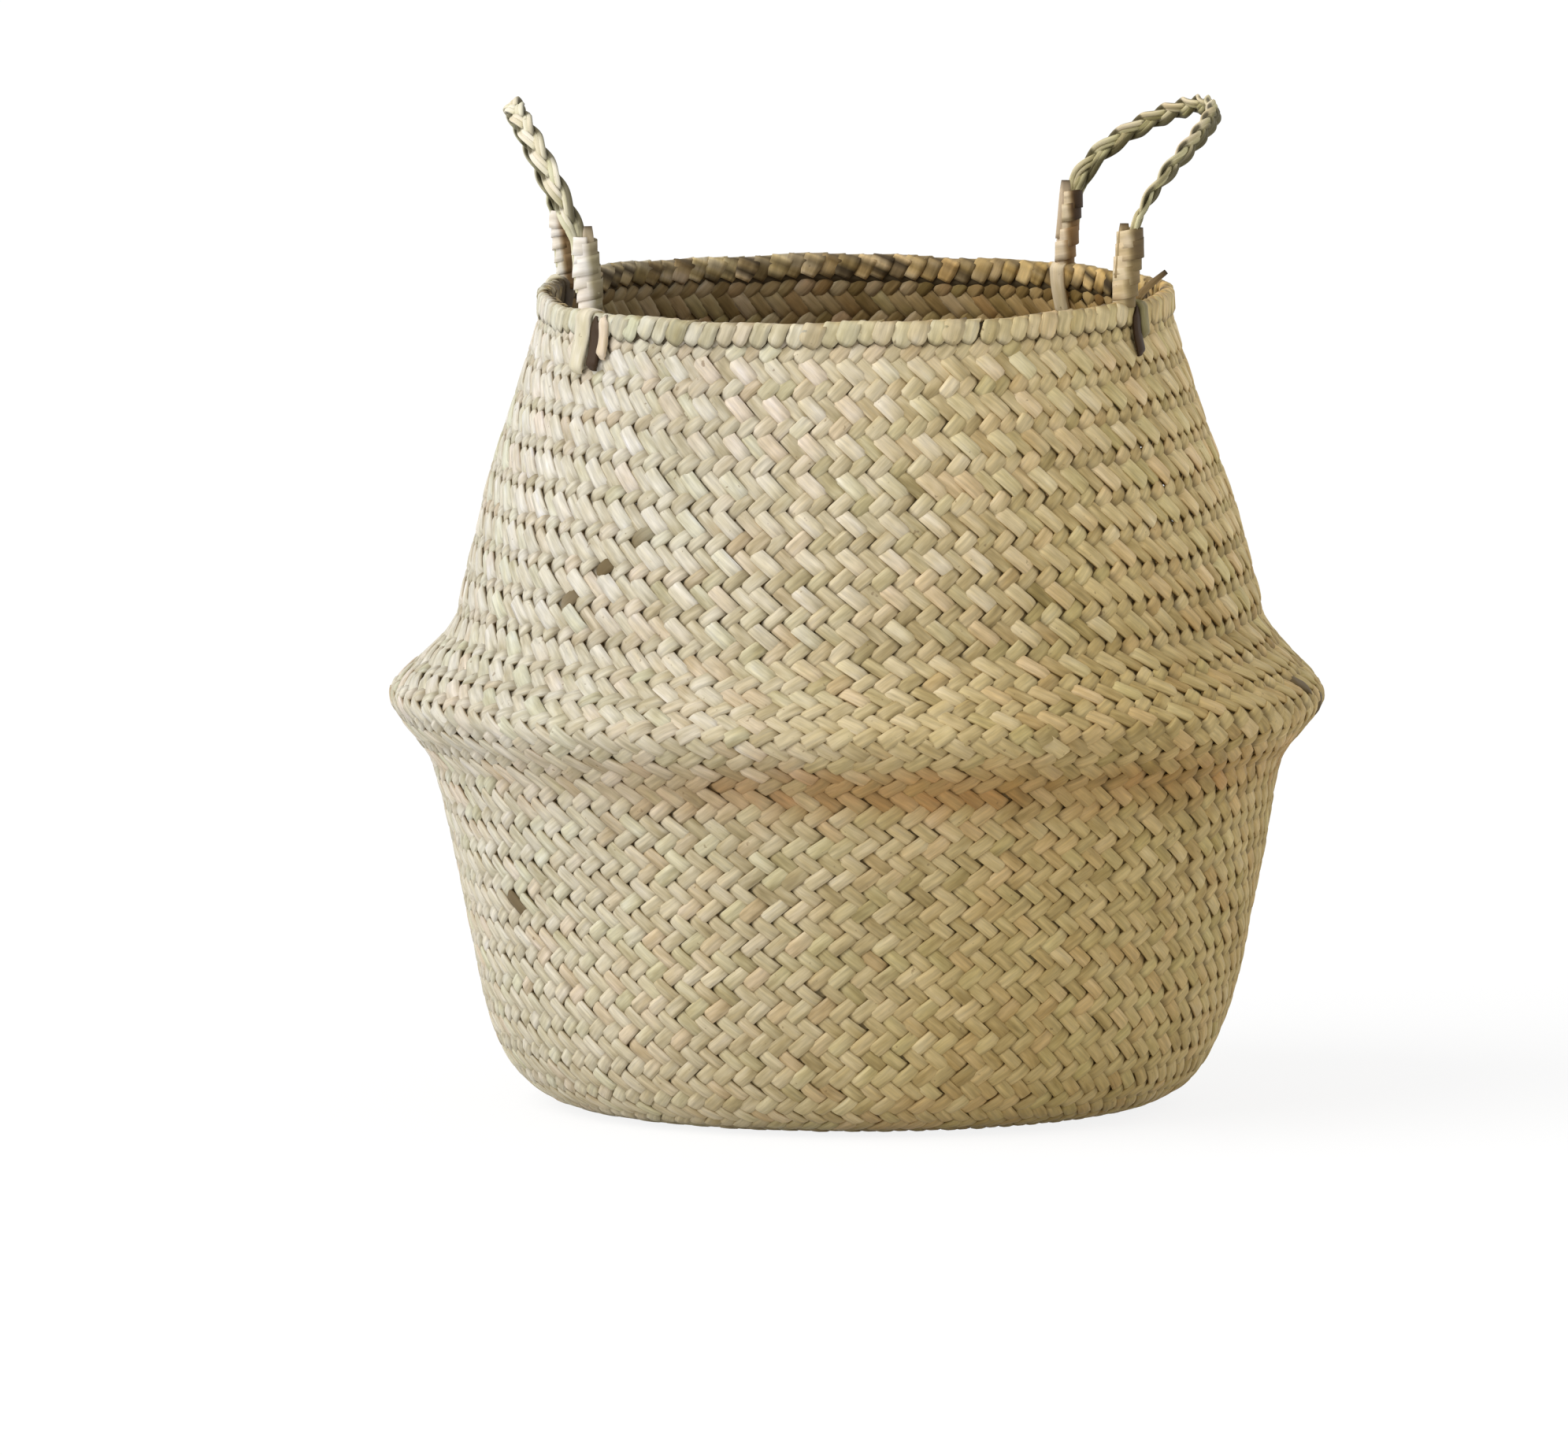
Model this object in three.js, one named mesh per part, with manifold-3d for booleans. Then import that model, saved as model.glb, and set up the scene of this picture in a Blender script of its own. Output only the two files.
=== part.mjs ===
// Seagrass belly basket with a folded waist and two plaited handles.
// Millimetres, Z up. The origin is the middle of the flat base, on the floor.
// The left handle leans towards -X and the right one towards +X.
import * as THREE from 'three';
import { mergeVertices } from 'three/addons/utils/BufferGeometryUtils.js';
import Module from 'manifold-3d';

const manifold = await Module();
manifold.setup();

// Woven wall, outer side from the floor up
const wallThickness = 4.5;
const baseRadius = 120;
const lowerHeight = 162;
const creaseRadius = 199;
const heelReach = 61;
const lowerFlare = 27.5;
const lowerFlareHeight = 106;

// Belly fold between the crease below it and the shoulder above it
const foldReach = 19;
const foldLowerRise = 29;
const foldUpperRise = 37.5;
const foldRoundness = 11;
const shoulderRadius = 189.5;

// Upper wall and mouth
const upperHeight = 145;
const shoulderLean = 10;
const shoulderLeanHeight = 60;
const neckHeight = 24;
const mouthRadius = 148;
const rimRise = 2.5;

// Rim border that closes the top edge
const borderThickness = 6.4;
const borderHeight = 7.5;
const borderGap = 0.3;

// Foot straps that go over the rim and back through a slot in the wall
const strapWidth = 9;
const strapThickness = 1.8;
const strapDrop = 26;
const strapClearance = 0.5;
const slotWidth = 13;

// Plaited grip
const plaitHalfWidth = 3.3;
const plaitHalfDepth = 2.2;
const plaitPeriod = 51;
const strandRadius = 1.5;
const strandClearance = 0.4;
const plaitStart = 8;

// Bound legs: three strands and a turned-back tail inside a wound leaf strip
const legSlope = 0.1;
const tailRadius = 1.6;
const tailProud = 5;
const bundleClearance = 0.3;
const bindingThickness = 1.2;
const bindingDepth = 5.2;
const stripWidth = 5.4;
const stripGap = 0.5;
const bindingTurns = 3;
const footClearance = 0.4;

// Handles: where the middle points, half the angle between the feet, and the lean, in degrees and millimetres
const leftMiddle = 184.5;
const leftSpread = 25.5;
const leftHeight = 79.5;
const leftReach = 19;
const leftCurl = 1.3;
const rightMiddle = 8.25;
const rightSpread = 39.25;
const rightHeight = 72;
const rightReach = 45;
const rightCurl = 1.75;

// Steps of the curved shapes
const roundSteps = 56;
const heelSteps = 3;
const lowerSteps = 6;
const foldSteps = 5;
const upperSteps = 8;
const strandSides = 5;
const stepsPerPeriod = 15;
const loopSteps = 24;
const archSteps = 32;

// Sizes worked out from the ones above
const foldRadius = creaseRadius + foldReach;
const shoulderHeight = lowerHeight + foldLowerRise + foldUpperRise;
const wallTop = shoulderHeight + upperHeight;
const rimTop = wallTop + borderGap + borderHeight;
const rimMiddle = mouthRadius - wallThickness / 2;
const slotTop = rimTop - strapDrop;
const bundleRadius = (2 * strandRadius + strandClearance) / Math.sqrt(3);
const bundleHalfWidth = bundleRadius + strandRadius;
const stripPitch = stripWidth + stripGap;
const bindingHeight = bindingTurns * stripPitch + stripWidth;
const bindingInner = bundleHalfWidth + tailRadius + 1.5 * bundleClearance;
const bindingWidth = bindingInner + bindingThickness / 2;
const legHalfWidth = bindingInner + bindingThickness;
const plaitOffset = bindingInner - bundleClearance - bundleHalfWidth;
const tailOffset = bindingInner - bundleClearance - tailRadius;
const hingeHeight = rimTop + strapClearance + strapThickness + footClearance + legHalfWidth;

const handles = [
  {
    name: 'left',
    feet: ['far', 'near'],
    middle: leftMiddle,
    spread: leftSpread,
    height: leftHeight,
    reach: leftReach,
    curl: leftCurl,
  },
  {
    name: 'right',
    feet: ['near', 'far'],
    middle: rightMiddle,
    spread: rightSpread,
    height: rightHeight,
    reach: rightReach,
    curl: rightCurl,
  },
];

// Dried seagrass finishes
const finishes = {
  weave: { color: 0xc9b98f, roughness: 0.82, metalness: 0 },
  fold: { color: 0xbfa878, roughness: 0.82, metalness: 0 },
  border: { color: 0xbda980, roughness: 0.85, metalness: 0 },
  strap: { color: 0xd6cdac, roughness: 0.7, metalness: 0 },
  plait: { color: 0xb9b28a, roughness: 0.8, metalness: 0 },
  binding: { color: 0xdccfb0, roughness: 0.65, metalness: 0 },
};

const group = new THREE.Group();

function addPiece(parent, name, geometry, finish) {
  const piece = new THREE.Mesh(geometry, new THREE.MeshStandardMaterial(finishes[finish]));
  piece.name = name;
  parent.add(piece);
  return piece;
}

function bezier(...corners) {
  return new THREE.CubicBezierCurve(...corners.map(([radius, height]) => new THREE.Vector2(radius, height)));
}

// The outer side of the wall, as one curve for each zone of the weave
const lowerSide = bezier(
  [baseRadius, 0],
  [baseRadius + heelReach, 0],
  [creaseRadius - lowerFlare, lowerHeight - lowerFlareHeight],
  [creaseRadius, lowerHeight],
);
const foldUnderside = bezier(
  [creaseRadius, lowerHeight],
  [creaseRadius + foldReach / 4, lowerHeight + foldLowerRise / 4],
  [foldRadius, lowerHeight + foldLowerRise - foldRoundness],
  [foldRadius, lowerHeight + foldLowerRise],
);
const foldTopside = bezier(
  [foldRadius, lowerHeight + foldLowerRise],
  [foldRadius, lowerHeight + foldLowerRise + foldRoundness],
  [shoulderRadius + foldReach / 2, shoulderHeight - foldUpperRise / 2],
  [shoulderRadius, shoulderHeight],
);
const upperSide = bezier(
  [shoulderRadius, shoulderHeight],
  [shoulderRadius - shoulderLean, shoulderHeight + shoulderLeanHeight],
  [mouthRadius, wallTop - neckHeight],
  [mouthRadius, wallTop],
);

function outwardNormals(points) {
  return points.map((point, index) => {
    const before = points[Math.max(index - 1, 0)];
    const after = points[Math.min(index + 1, points.length - 1)];
    const along = after.clone().sub(before).normalize();
    return new THREE.Vector2(along.y, -along.x);
  });
}

// The inner side lies one wall inside the outer one; both ends are cut level, to meet the next zone
function innerSide(outer) {
  const normals = outwardNormals(outer);
  return outer.map((point, index) => {
    const isEnd = index === 0 || index === outer.length - 1;
    const normal = isEnd ? new THREE.Vector2(1, 0) : normals[index];
    return point.clone().addScaledVector(normal, -wallThickness);
  });
}

// Turns a closed outline of radius and height about the Z axis
function turned(outline) {
  const geometry = new THREE.LatheGeometry([...outline, outline[0].clone()], roundSteps);
  geometry.rotateX(Math.PI / 2);
  return geometry;
}

// The hand-woven mouth isn't level: it climbs from left to right, the more the nearer to the rim
function liftAt(x, height) {
  const share = THREE.MathUtils.clamp((height - shoulderHeight) / upperHeight, 0, 1);
  return rimRise * (x / mouthRadius) * share;
}

function tilted(geometry) {
  const place = geometry.attributes.position;
  for (let index = 0; index < place.count; index += 1) {
    place.setZ(index, place.getZ(index) + liftAt(place.getX(index), place.getZ(index)));
  }
  return geometry;
}

function toSolid(geometry) {
  const bare = geometry.clone();
  bare.deleteAttribute('normal');
  bare.deleteAttribute('uv');
  const merged = mergeVertices(bare, 1e-4);
  const vertProperties = new Float32Array(merged.attributes.position.array);
  const triVerts = new Uint32Array(merged.index.array);
  return new manifold.Manifold(new manifold.Mesh({ numProp: 3, vertProperties, triVerts }));
}

function toGeometry(solid) {
  const mesh = solid.getMesh();
  const geometry = new THREE.BufferGeometry();
  geometry.setAttribute('position', new THREE.BufferAttribute(mesh.vertProperties, 3));
  geometry.setIndex(new THREE.BufferAttribute(mesh.triVerts, 1));
  return geometry;
}

// Joins rings of points, each with the same number, into one closed tube with capped ends
function ringTube(rings) {
  const sides = rings[0].length;
  const positions = rings.flat().flatMap((point) => [point.x, point.y, point.z]);
  const faces = [];
  for (let ring = 0; ring < rings.length - 1; ring += 1) {
    for (let side = 0; side < sides; side += 1) {
      const here = ring * sides + side;
      const next = ring * sides + (side + 1) % sides;
      faces.push(here, next + sides, next, here, here + sides, next + sides);
    }
  }
  const last = (rings.length - 1) * sides;
  for (let side = 1; side < sides - 1; side += 1) {
    faces.push(0, side, side + 1, last, last + side + 1, last + side);
  }
  const geometry = new THREE.BufferGeometry();
  geometry.setAttribute('position', new THREE.Float32BufferAttribute(positions, 3));
  geometry.setIndex(faces);
  return geometry;
}

// Woven body: a flat mat, and zones of wall that stand on each other
function makeBase() {
  const mat = new THREE.Shape().absarc(0, 0, baseRadius - bundleClearance, 0, 2 * Math.PI);
  const options = { depth: wallThickness, bevelEnabled: false, curveSegments: roundSteps };
  return new THREE.ExtrudeGeometry(mat, options);
}

const sideOuter = lowerSide.getPoints(2 * heelSteps + lowerSteps);
const heelOuter = sideOuter.slice(0, heelSteps + 1);
const bendOuter = sideOuter.slice(heelSteps, 2 * heelSteps + 1);
const lowerOuter = sideOuter.slice(2 * heelSteps);
const upperOuter = upperSide.getPoints(upperSteps);

// The heel lies flat on the floor where it leaves the mat, so it starts with an upright edge
function makeHeel() {
  const inner = innerSide(heelOuter);
  inner[0].set(baseRadius, wallThickness);
  return turned([...heelOuter, ...inner.reverse()]);
}

function makeWallZone(outer) {
  return turned([...outer, ...innerSide(outer).reverse()]);
}

function makeBorder() {
  const inner = mouthRadius - wallThickness / 2 - borderThickness / 2;
  const outer = inner + borderThickness;
  const bottom = wallTop + borderGap;
  const round = borderThickness / 3;
  const outline = [
    [outer - round / 2, bottom],
    [outer, bottom + round],
    [outer, rimTop - round],
    [outer - round, rimTop],
    [inner + round, rimTop],
    [inner, rimTop - round],
    [inner, bottom + round],
    [inner + round / 2, bottom],
  ];
  return tilted(turned(outline.map(([radius, height]) => new THREE.Vector2(radius, height))));
}

// Radius of the upper wall's outer side at a height, straight between the points of its outline
function upperRadiusAt(height) {
  const index = upperOuter.findIndex((point) => point.y >= height);
  if (index < 1) {
    return height > wallTop ? mouthRadius : shoulderRadius;
  }
  const below = upperOuter[index - 1];
  const above = upperOuter[index];
  return THREE.MathUtils.mapLinear(height, below.y, above.y, below.x, above.x);
}

// One foot strap is a closed band round the top of the wall, drawn as its side view and given its width
function strapOutline(offset) {
  const half = borderThickness / 2;
  const steps = 5;
  const outerSide = [];
  const inside = [];
  for (let step = 0; step <= steps; step += 1) {
    const height = THREE.MathUtils.mapLinear(step, 0, steps, slotTop, rimTop);
    const wall = upperRadiusAt(height);
    outerSide.push([Math.max(wall, rimMiddle + half) + offset, height]);
    inside.push([Math.min(wall - 1.04 * wallThickness, rimMiddle - half) - offset, height]);
  }
  outerSide[0][1] -= offset;
  inside[0][1] -= offset;
  outerSide[steps][1] += offset / 2;
  inside[steps][1] += offset / 2;
  const crown = [[rimMiddle + half / 2, rimTop + offset], [rimMiddle - half / 2, rimTop + offset]];
  return [...outerSide, ...crown, ...inside.reverse()].map(([radius, height]) => new THREE.Vector2(radius, height));
}

function makeStrap(angle) {
  const shape = new THREE.Shape(strapOutline(strapClearance + strapThickness));
  shape.holes.push(new THREE.Path(strapOutline(strapClearance)));
  const band = new THREE.ExtrudeGeometry(shape, { depth: strapWidth, bevelEnabled: false });
  band.translate(0, 0, -strapWidth / 2);
  band.rotateX(Math.PI / 2);
  band.rotateZ(angle);
  return tilted(band);
}

function cutSlots(geometry, angles) {
  const slotHeight = strapThickness + 2 * strapClearance + strapClearance;
  let solid = toSolid(geometry);
  for (const angle of angles) {
    const cutter = new THREE.BoxGeometry(6 * wallThickness, slotWidth, slotHeight);
    cutter.translate(upperRadiusAt(slotTop) - wallThickness / 2, 0, slotTop - slotHeight / 2);
    cutter.rotateZ(angle);
    solid = solid.subtract(toSolid(tilted(cutter)));
  }
  return toGeometry(solid);
}

// Handles are drawn in their own frame: X outward, Y from foot to foot, Z up from the hinge axis
function halfSpan(handle) {
  return rimMiddle * Math.sin(THREE.MathUtils.degToRad(handle.spread));
}

function plaitLine(handle) {
  const points = [];
  const span = halfSpan(handle);
  for (const height of [0, bindingHeight / 3, 2 * bindingHeight / 3]) {
    points.push(new THREE.Vector3(plaitOffset + legSlope * height, -span, height));
  }
  for (let step = 0; step <= archSteps; step += 1) {
    const turn = Math.PI * step / archSteps;
    const across = Math.cos(turn);
    const rise = Math.sin(turn);
    const height = bindingHeight + (handle.height - bindingHeight) * rise;
    const outward = plaitOffset + legSlope * height + handle.reach * rise ** handle.curl;
    points.push(new THREE.Vector3(outward, -span * across, height));
  }
  for (const height of [2 * bindingHeight / 3, bindingHeight / 3, 0]) {
    points.push(new THREE.Vector3(plaitOffset + legSlope * height, span, height));
  }
  return new THREE.CatmullRomCurve3(points, false, 'centripetal');
}

// What stands in a leg ends on a round about the hinge axis, so that it clears the strap when it swings.
// On the inner side the leg's slope carries its end further from the axis.
function dropAt(outward, radius) {
  const reach = Math.abs(outward) + radius;
  const lean = outward < 0 ? legSlope : 0;
  const square = 1 + lean ** 2;
  return (Math.sqrt(square * legHalfWidth ** 2 - reach ** 2) - lean * reach) / square;
}

function belowHinge(point, radius) {
  const drop = dropAt(point.x, radius);
  return point.clone().add(new THREE.Vector3(-legSlope * drop, 0, -drop));
}

// A strand weaves from side to side once, and up and down twice, in each period of the plait.
// In the bound legs it runs straight beside the other two, and it spreads out above them before it weaves.
function makeStrand(handle, strand) {
  const line = plaitLine(handle);
  const length = line.getLength();
  const weaving = length - 2 * (bindingHeight + plaitStart);
  const sixths = Math.round(6 * weaving / plaitPeriod);
  const steps = Math.round(stepsPerPeriod * length / plaitPeriod);
  const points = [];
  for (let step = 0; step <= steps; step += 1) {
    const share = step / steps;
    const fromEnd = length * Math.min(share, 1 - share);
    const progress = THREE.MathUtils.clamp((share * length - bindingHeight - plaitStart) / weaving, 0, 1);
    const phase = Math.PI / 6 + progress * sixths * Math.PI / 3 + strand * 2 * Math.PI / 3;
    const spread = THREE.MathUtils.smoothstep(fromEnd, bindingHeight, bindingHeight + plaitStart);
    const width = THREE.MathUtils.lerp(bundleRadius, plaitHalfWidth, spread);
    const depth = THREE.MathUtils.lerp(bundleRadius, plaitHalfDepth, spread);
    const tangent = line.getTangentAt(share);
    const sideways = new THREE.Vector3(1, 0, 0).addScaledVector(tangent, -tangent.x).normalize();
    const upward = new THREE.Vector3().crossVectors(tangent, sideways);
    const point = line.getPointAt(share);
    point.addScaledVector(sideways, width * Math.sin(phase));
    point.addScaledVector(upward, depth * Math.sin(2 * phase));
    points.push(point);
  }
  const [first, last] = [points[0], points[points.length - 1]];
  points.unshift(belowHinge(first, strandRadius));
  points.push(belowHinge(last, strandRadius));
  const section = new THREE.Shape();
  for (let side = 0; side < strandSides; side += 1) {
    const turn = 2 * Math.PI * side / strandSides;
    const corner = [strandRadius * Math.cos(turn), strandRadius * Math.sin(turn)];
    side === 0 ? section.moveTo(...corner) : section.lineTo(...corner);
  }
  const path = new THREE.CatmullRomCurve3(points);
  return new THREE.ExtrudeGeometry(section, { steps, extrudePath: path, bevelEnabled: false });
}

// The turned-back tail ends just above the binding in a slanting cut
function makeTail(side) {
  const bottom = -dropAt(-tailOffset, tailRadius);
  const top = bindingHeight + tailProud;
  const tail = new THREE.CylinderGeometry(tailRadius, tailRadius, top - bottom, 10);
  tail.rotateX(Math.PI / 2);
  const place = tail.attributes.position;
  for (let index = 0; index < place.count; index += 1) {
    const isTop = place.getZ(index) > 0;
    const height = place.getZ(index) + (top + bottom) / 2 + (isTop ? place.getX(index) : 0);
    place.setX(index, place.getX(index) - tailOffset + legSlope * height);
    place.setZ(index, height);
  }
  return tail.translate(0, side, 0);
}

// The binding is one flat leaf strip wound round the leg, each turn close above the last
function bindingRings(side) {
  const edge = 0.4 * stripWidth;
  const skin = bindingThickness / 2;
  const section = [
    [-stripWidth / 2, 0],
    [-edge, skin],
    [edge, skin],
    [stripWidth / 2, 0],
    [edge, -skin],
    [-edge, -skin],
  ];
  const rings = [];
  for (let step = 0; step <= bindingTurns * loopSteps; step += 1) {
    const turn = 2 * Math.PI * step / loopSteps;
    const normal = new THREE.Vector2(Math.cos(turn) / bindingWidth, Math.sin(turn) / bindingDepth).normalize();
    const middle = stripWidth / 2 + stripPitch * step / loopSteps;
    rings.push(section.map(([along, out]) => new THREE.Vector3(
      bindingWidth * Math.cos(turn) + normal.x * out + legSlope * (middle + along),
      side + bindingDepth * Math.sin(turn) + normal.y * out,
      middle + along,
    )));
  }
  return rings;
}

// Least distance between points of turns that lie above each other
function leastGap(rings) {
  let least = Infinity;
  for (let ring = 0; ring < rings.length; ring += 1) {
    for (let other = ring + loopSteps / 2; other < rings.length; other += 1) {
      for (const point of rings[ring]) {
        for (const next of rings[other]) {
          least = Math.min(least, point.distanceTo(next));
        }
      }
    }
  }
  return least;
}

function addHandle(handle) {
  const middle = THREE.MathUtils.degToRad(handle.middle);
  const spread = THREE.MathUtils.degToRad(handle.spread);
  const distance = rimMiddle * Math.cos(spread);
  const place = new THREE.Group();
  const x = distance * Math.cos(middle);
  place.position.set(x, distance * Math.sin(middle), hingeHeight + liftAt(x, wallTop));
  place.rotation.z = middle;
  group.add(place);
  for (let strand = 0; strand < 3; strand += 1) {
    addPiece(place, `${handle.name}_plait_strand_${strand + 1}`, makeStrand(handle, strand), 'plait');
  }
  const ends = [-halfSpan(handle), halfSpan(handle)];
  handle.feet.forEach((foot, index) => {
    const rings = bindingRings(ends[index]);
    addPiece(place, `${handle.name}_${foot}_binding`, ringTube(rings), 'binding');
    addPiece(place, `${handle.name}_${foot}_tail`, makeTail(ends[index]), 'strap');
    console.log(`${handle.name} ${foot} binding: least gap between turns ${leastGap(rings).toFixed(2)} mm`);
  });
}

function footAngles(handle) {
  const turn = [-handle.spread, handle.spread];
  return turn.map((spread) => THREE.MathUtils.degToRad(handle.middle + spread));
}

addPiece(group, 'woven_base', makeBase(), 'weave');
addPiece(group, 'woven_heel', makeHeel(), 'weave');
addPiece(group, 'heel_bend', makeWallZone(bendOuter), 'weave');
addPiece(group, 'lower_wall', makeWallZone(lowerOuter), 'weave');
addPiece(group, 'fold_underside', makeWallZone(foldUnderside.getPoints(foldSteps)), 'fold');
addPiece(group, 'fold_topside', makeWallZone(foldTopside.getPoints(foldSteps)), 'fold');
const allFeet = handles.flatMap(footAngles);
addPiece(group, 'upper_wall', cutSlots(tilted(makeWallZone(upperOuter)), allFeet), 'weave');
addPiece(group, 'rim_border', makeBorder(), 'border');
for (const handle of handles) {
  const angles = footAngles(handle);
  handle.feet.forEach((foot, index) => {
    addPiece(group, `${handle.name}_${foot}_foot_strap`, makeStrap(angles[index]), 'strap');
  });
  addHandle(handle);
}

export default group;
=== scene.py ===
import math

import bpy
import numpy as np
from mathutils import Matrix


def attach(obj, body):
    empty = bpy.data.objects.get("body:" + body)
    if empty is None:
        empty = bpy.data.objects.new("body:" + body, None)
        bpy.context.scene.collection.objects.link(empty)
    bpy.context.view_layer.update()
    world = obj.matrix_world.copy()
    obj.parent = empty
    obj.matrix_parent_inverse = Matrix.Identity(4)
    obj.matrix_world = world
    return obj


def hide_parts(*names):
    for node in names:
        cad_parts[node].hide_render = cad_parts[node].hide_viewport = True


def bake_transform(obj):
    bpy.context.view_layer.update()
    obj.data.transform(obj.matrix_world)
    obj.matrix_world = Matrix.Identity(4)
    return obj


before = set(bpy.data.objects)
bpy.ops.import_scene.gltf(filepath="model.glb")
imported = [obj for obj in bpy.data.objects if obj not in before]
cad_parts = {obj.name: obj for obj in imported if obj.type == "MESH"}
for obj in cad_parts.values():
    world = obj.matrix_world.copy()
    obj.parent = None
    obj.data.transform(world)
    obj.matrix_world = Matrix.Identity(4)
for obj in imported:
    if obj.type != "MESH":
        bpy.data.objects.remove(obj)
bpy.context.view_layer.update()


# The base is a round mat of dried seagrass stems, laid in two directions and woven
# over two and under two. It stands on the floor, and its edge lies over the ends
# from which the stems of the wall start.
mat_radius = 0.1215
mat_spacing = 0.006
mat_edge_width = 0.012
mat_edge_height = 0.0022
weave_middle = 0.00225
stem_rise = 0.00112
stem_thick = 0.00108
stem_corners = 8
stem_round_mm = 11.0
map_step_mm = 23.0


def over_under(crossing, bias=0.0):
    """+1 where a stem lies over two others, -1 where it lies under two: a cosine of period four,
    moved down by bias, cut flat and softened."""
    wave = np.clip(1.8 * np.cos(0.5 * np.pi * (crossing - 0.5)) - bias, -1, 1)
    return wave * (1.5 - 0.5 * wave * wave)


def unit(vectors):
    """Each vector divided by its own length."""
    return vectors / np.linalg.norm(vectors, axis=-1, keepdims=True)


def corner_turns():
    """The angle of each corner of a stem's section, from the stem's one edge round its outer side."""
    return 2 * np.pi * (np.arange(stem_corners) + 0.5) / stem_corners


def stem_skin(line, normal, half_width, half_thick, crown=0.55):
    """Sections carried along many lines: the line, plus half_width times cos(turn) across it,
    plus half_thick times sin(turn), made fuller by the power crown, outwards."""
    along = unit(np.gradient(line, axis=-2))
    across = unit(np.cross(normal, along))
    out = np.cross(along, across)
    turn = corner_turns()
    wide = np.cos(turn) * half_width[..., None]
    thick = np.sign(np.sin(turn)) * np.abs(np.sin(turn)) ** crown * half_thick[..., None]
    return line[..., None, :] + across[..., None, :] * wide[..., None] + out[..., None, :] * thick[..., None]


def closed_stems(name, points, length_mm, marks):
    """Sections joined into closed tubes: a four-cornered face between neighbours and a flat face on each
    end. The map runs round the stem and along it in millimetres, and each mark has a number for each section
    or for each of its corners."""
    stems, rings, sides, _ = points.shape
    index = np.arange(stems * rings * sides).reshape(stems, rings, sides)
    near, far = index[:, :-1], index[:, 1:]
    quads = np.stack([near, np.roll(near, -1, 2), np.roll(far, -1, 2), far], -1)
    caps = np.concatenate([index[:, 0, ::-1], index[:, -1]])
    mesh = bpy.data.meshes.new(name)
    mesh.vertices.add(index.size)
    mesh.vertices.foreach_set("co", points.astype(np.float32).ravel())
    loops = np.concatenate([quads.ravel(), caps.ravel()]).astype(np.int32)
    mesh.loops.add(loops.size)
    mesh.loops.foreach_set("vertex_index", loops)
    starts = np.concatenate([np.arange(quads.size // 4) * 4, quads.size + np.arange(len(caps)) * sides])
    mesh.polygons.add(starts.size)
    mesh.polygons.foreach_set("loop_start", starts.astype(np.int32))
    round_mm = stem_round_mm * np.arange(sides + 1) / sides
    u = np.stack([round_mm[:-1], round_mm[1:], round_mm[1:], round_mm[:-1]], -1)
    u = np.broadcast_to(u, quads.shape) + map_step_mm * np.arange(stems)[:, None, None, None]
    v = np.stack([length_mm[:, :-1], length_mm[:, :-1], length_mm[:, 1:], length_mm[:, 1:]], -1)
    v = np.broadcast_to(v[:, :, None, :], quads.shape)
    side_map = np.stack([u, v], -1).reshape(-1, 2)
    cap_map = np.zeros((caps.size, 2))
    strip = mesh.uv_layers.new(name="strip")
    strip.data.foreach_set("uv", np.concatenate([side_map, cap_map]).astype(np.float32).ravel())
    for mark, values in marks.items():
        values = values[..., None] if values.ndim == 2 else values
        values = np.broadcast_to(values, (stems, rings, sides)).astype(np.float32)
        mesh.attributes.new(mark, "FLOAT", "POINT").data.foreach_set("value", values.ravel())
    mesh.update(calc_edges=True)
    mesh.shade_smooth()
    piece = bpy.data.objects.new(name, mesh)
    bpy.context.collection.objects.link(piece)
    return piece


def inward():
    """1 on the half of a section that faces into the basket and 0 on the half that faces out,
    from the sine of the turn."""
    return np.clip(-2 * np.sin(corner_turns()), 0, 1)[None, None]


def run_length(line):
    """Millimetres along each line, from its first point."""
    steps = np.linalg.norm(np.diff(line, axis=-2), axis=-1) * 1000
    return np.concatenate([np.zeros(steps.shape[:-1] + (1,)), np.cumsum(steps, -1)], -1)


def wander(chance, shape, length, knot):
    """Smooth chance from -1 to 1 along each row: even random numbers at every knot, eased from one
    to the next by 3t^2 - 2t^3."""
    place = np.asarray(length) / knot + 7.0
    knots = chance.uniform(-1, 1, (shape[0], int(place.max()) + 3))
    low = np.floor(place).astype(int)
    ease = place - low
    ease = ease * ease * (3 - 2 * ease)
    row = np.arange(shape[0])[:, None]
    return knots[row, low] * (1 - ease) + knots[row, low + 1] * ease


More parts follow.
